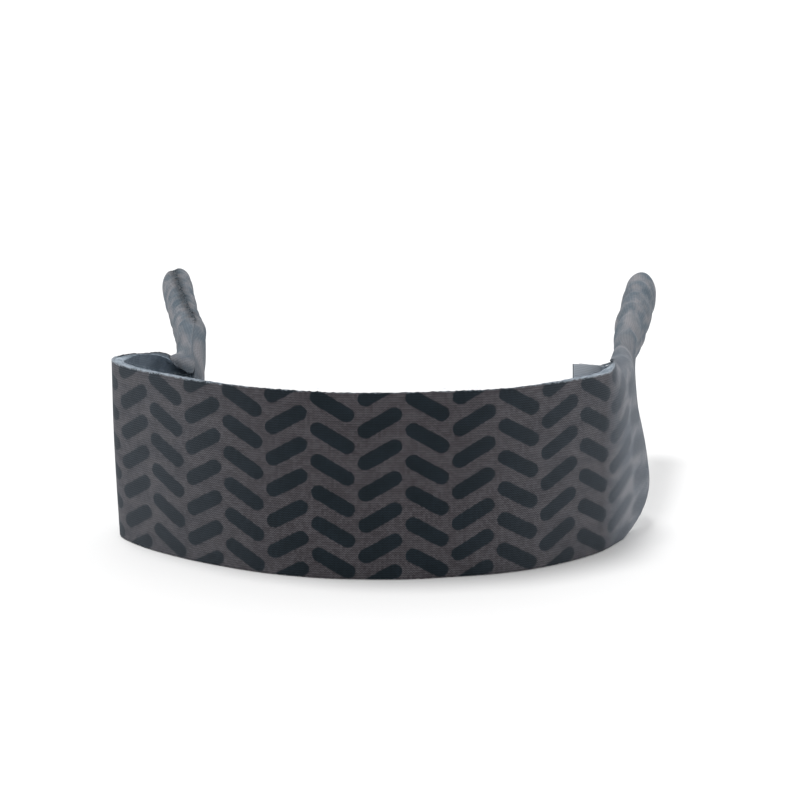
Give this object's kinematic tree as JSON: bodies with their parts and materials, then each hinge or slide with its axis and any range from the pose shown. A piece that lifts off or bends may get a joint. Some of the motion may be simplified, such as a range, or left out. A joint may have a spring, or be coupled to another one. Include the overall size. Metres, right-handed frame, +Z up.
{
  "type": "eyeglass retainer strap",
  "caption": "Neoprene sunglasses retainer strap with a printed jersey band standing on its edge and a sewn sleeve at each end that stretches over a temple tip.",
  "frame": {"origin": "on the surface that the strap stands on, under the middle of its box", "axes": "+Z up; the band's convex printed side faces -Y; the two sleeves run back along +Y; +X to the right end"},
  "size_m": [0.1405, 0.1075, 0.0535],
  "materials": {
    "printed_jersey": "matte knit, brownish grey with dark teal motifs",
    "foam_core": "raw cut foam edge, light blue grey",
    "lining_jersey": "matte knit, slate blue grey",
    "seam_thread": "matte twisted thread"
  },
  "bodies": {
    "band": {"band_printed_face": "printed_jersey", "band_foam_core": "foam_core", "band_lining": "lining_jersey"},
    "left_shoulder": {"left_shoulder_printed_face": "printed_jersey", "left_shoulder_foam_core": "foam_core", "left_shoulder_lining": "lining_jersey"},
    "right_shoulder": {"right_shoulder_printed_face": "printed_jersey", "right_shoulder_foam_core": "foam_core", "right_shoulder_lining": "lining_jersey", "right_lip_printed_face": "printed_jersey", "right_lip_foam_core": "foam_core", "right_lip_lining": "lining_jersey"},
    "left_sleeve": {"left_sleeve_printed_face": "printed_jersey", "left_sleeve_foam_core": "foam_core", "left_sleeve_lining": "lining_jersey", "left_sleeve_seam_thread": "seam_thread"},
    "right_sleeve": {"right_sleeve_printed_face": "printed_jersey", "right_sleeve_foam_core": "foam_core", "right_sleeve_lining": "lining_jersey", "right_sleeve_seam_thread": "seam_thread"}
  },
  "joints": [
    {"name": "left_side_flex", "type": "hinge", "parent": "band", "child": "left_shoulder", "pos_m": [-0.0598, -0.0324, 0.022], "axis": [0, 0, 1], "range_deg": [-20, 35], "stiffness_Nm_per_rad": 0.01},
    {"name": "right_side_flex", "type": "hinge", "parent": "band", "child": "right_shoulder", "pos_m": [0.0465, -0.0338, 0.022], "axis": [0, 0, -1], "range_deg": [-20, 35], "stiffness_Nm_per_rad": 0.01},
    {"name": "left_sleeve_flex", "type": "hinge", "parent": "left_shoulder", "child": "left_sleeve", "pos_m": [-0.05343, -0.00034, 0.04344], "axis": [0, 0, 1], "range_deg": [-20, 20], "stiffness_Nm_per_rad": 0.005},
    {"name": "right_sleeve_flex", "type": "hinge", "parent": "right_shoulder", "child": "right_sleeve", "pos_m": [0.05733, 0.00684, 0.04211], "axis": [0, 0, -1], "range_deg": [-20, 20], "stiffness_Nm_per_rad": 0.005}
  ]
}
